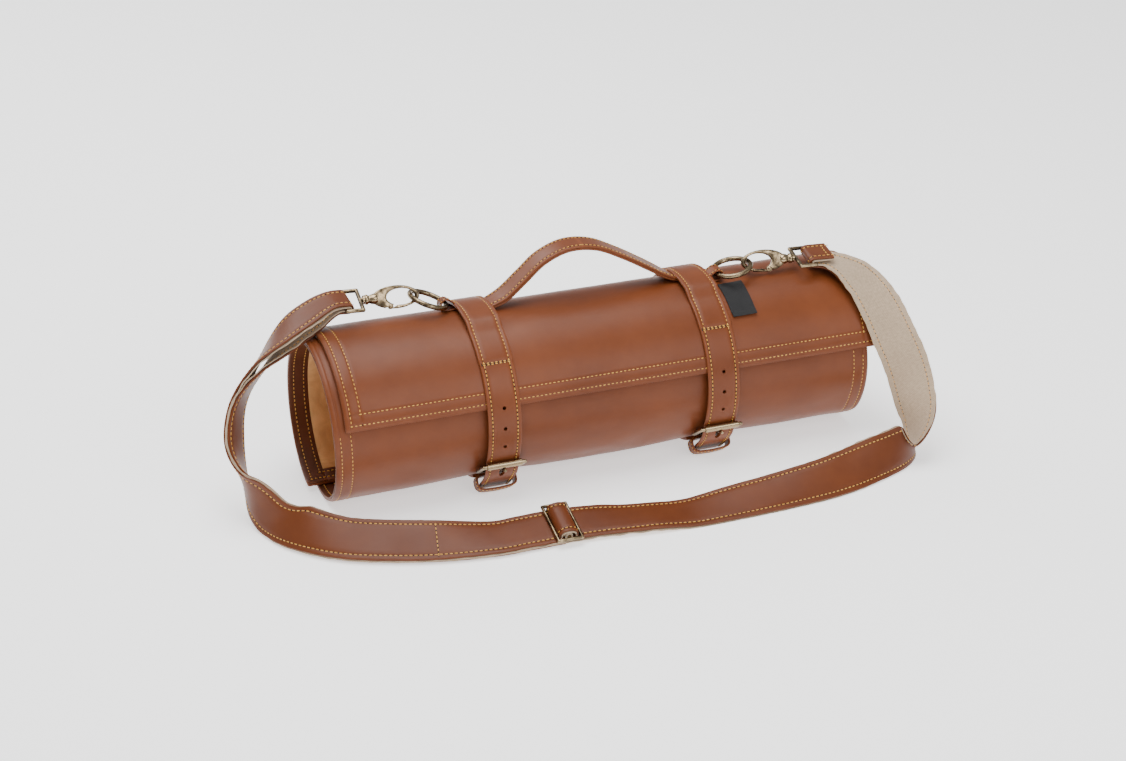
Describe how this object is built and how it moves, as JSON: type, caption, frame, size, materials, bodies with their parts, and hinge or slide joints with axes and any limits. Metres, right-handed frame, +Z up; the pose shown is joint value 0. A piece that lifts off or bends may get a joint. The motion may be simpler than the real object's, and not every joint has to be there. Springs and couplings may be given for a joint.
{
  "type": "brush roll case",
  "caption": "Rolled leather case for artists' brushes, held shut by buckled belts, with a carrying handle and a clip-on shoulder strap.",
  "frame": {"origin": "On the floor, under the middle of the whole object's box, with the strap laid out in front of the roll", "axes": "+X along the roll, to the right when facing the buckles; -Y towards the buckles and the strap; +Z up"},
  "size_m": [0.5274, 0.2092, 0.1665],
  "materials": {
    "leather": "satin",
    "facing_leather": "satin",
    "strap_leather": "satin",
    "suede": "matte",
    "canvas": "matte",
    "antique_brass": "satin",
    "label": "matte"
  },
  "bodies": {
    "root": {"brush_pockets": "suede", "flap_facing": "facing_leather", "handle_left_end": "leather", "handle_right_end": "leather", "inner_edge_facing": "facing_leather", "left_belt": "leather", "left_buckle_chape": "leather", "left_end_facing": "facing_leather", "left_keeper": "leather", "left_ring_tab": "leather", "outer_panel": "leather", "right_belt": "leather", "right_buckle_chape": "leather", "right_end_facing": "facing_leather", "right_keeper": "leather", "right_ring_tab": "leather", "suede_lining": "suede", "woven_label": "label"},
    "handle": {"handle_top_layer": "leather", "handle_under_layer": "leather"},
    "slider": {"slider_frame": "antique_brass", "slider_bar": "antique_brass", "slider_hump_leather": "strap_leather", "slider_hump_canvas": "canvas", "strap_end_wrap": "strap_leather"},
    "left_ring": {"left_ring": "antique_brass"},
    "left_hook": {"left_hook_body": "antique_brass", "left_hook_gate_pin": "antique_brass"},
    "left_gate": {"left_hook_gate": "antique_brass"},
    "left_buckle": {"left_buckle_frame": "antique_brass"},
    "left_roller": {"left_buckle_roller": "antique_brass"},
    "left_prong": {"left_buckle_prong": "antique_brass"},
    "right_ring": {"right_ring": "antique_brass"},
    "right_hook": {"right_hook_body": "antique_brass", "right_hook_gate_pin": "antique_brass"},
    "right_gate": {"right_hook_gate": "antique_brass"},
    "right_buckle": {"right_buckle_frame": "antique_brass"},
    "right_roller": {"right_buckle_roller": "antique_brass"},
    "right_prong": {"right_buckle_prong": "antique_brass"},
    "strap": {"left_hook_eye": "antique_brass", "return_front_canvas": "canvas", "return_front_leather": "strap_leather", "return_left_canvas": "canvas", "return_left_leather": "strap_leather", "right_hook_eye": "antique_brass", "strap_front_canvas": "canvas", "strap_front_leather": "strap_leather", "strap_left_canvas": "canvas", "strap_left_fold": "strap_leather", "strap_left_leather": "strap_leather", "strap_right_canvas": "canvas", "strap_right_fold": "strap_leather", "strap_right_leather": "strap_leather"}
  },
  "joints": [
    {"name": "handle_tilt", "type": "hinge", "parent": "root", "child": "handle", "pos_m": [0.01383, 0.0464, 0.12945], "axis": [1, 0, 0], "range_deg": [-12, 12]},
    {"name": "strap_swing", "type": "hinge", "parent": "root", "child": "strap", "pos_m": [-0.16017, 0.0584, 0.13985], "axis": [-0.9964, 0.083, 0.016], "range_deg": [0, 30]},
    {"name": "slider_slide", "type": "slide", "parent": "strap", "child": "slider", "axis": [1, 0, 0], "range_m": [-0.02, 0.02]},
    {"name": "left_ring_turn", "type": "hinge", "parent": "root", "child": "left_ring", "pos_m": [-0.10135, 0.05408, 0.13389], "axis": [-0.3734, 0, -0.9277], "continuous": true},
    {"name": "left_hook_swivel", "type": "hinge", "parent": "root", "child": "left_hook", "pos_m": [-0.16017, 0.0584, 0.13985], "axis": [0.9964, -0.083, -0.016], "range_deg": [0, 15]},
    {"name": "left_gate_open", "type": "hinge", "parent": "left_hook", "child": "left_gate", "pos_m": [-0.12992, 0.05282, 0.13362], "axis": [-0.0659, -0.881, 0.4685], "range_deg": [0, 25], "stiffness_Nm_per_rad": 0.02},
    {"name": "left_buckle_lift", "type": "hinge", "parent": "root", "child": "left_buckle", "pos_m": [-0.07117, -0.0106, 0.02253], "axis": [1, 0, 0], "range_deg": [0, 8]},
    {"name": "left_roller_spin", "type": "hinge", "parent": "left_buckle", "child": "left_roller", "pos_m": [-0.07117, -0.02444, 0.03238], "axis": [1, 0, 0], "continuous": true},
    {"name": "left_prong_lift", "type": "hinge", "parent": "left_buckle", "child": "left_prong", "pos_m": [-0.07117, -0.0106, 0.02253], "axis": [1, 0, 0], "range_deg": [0, 6]},
    {"name": "right_ring_turn", "type": "hinge", "parent": "root", "child": "right_ring", "pos_m": [0.12979, 0.03365, 0.13249], "axis": [-0.1766, 0, 0.9843], "continuous": true},
    {"name": "right_hook_swivel", "type": "hinge", "parent": "root", "child": "right_hook", "pos_m": [-0.16017, 0.0584, 0.13985], "axis": [0.9964, -0.083, -0.016], "range_deg": [0, 15]},
    {"name": "right_gate_open", "type": "hinge", "parent": "right_hook", "child": "right_gate", "pos_m": [0.15845, 0.02859, 0.12909], "axis": [0.064, 0.8643, -0.499], "range_deg": [0, 25], "stiffness_Nm_per_rad": 0.02},
    {"name": "right_buckle_lift", "type": "hinge", "parent": "root", "child": "right_buckle", "pos_m": [0.09883, -0.0106, 0.02253], "axis": [1, 0, 0], "range_deg": [0, 8]},
    {"name": "right_roller_spin", "type": "hinge", "parent": "right_buckle", "child": "right_roller", "pos_m": [0.09883, -0.02444, 0.03238], "axis": [1, 0, 0], "continuous": true},
    {"name": "right_prong_lift", "type": "hinge", "parent": "right_buckle", "child": "right_prong", "pos_m": [0.09883, -0.0106, 0.02253], "axis": [1, 0, 0], "range_deg": [0, 6]}
  ]
}
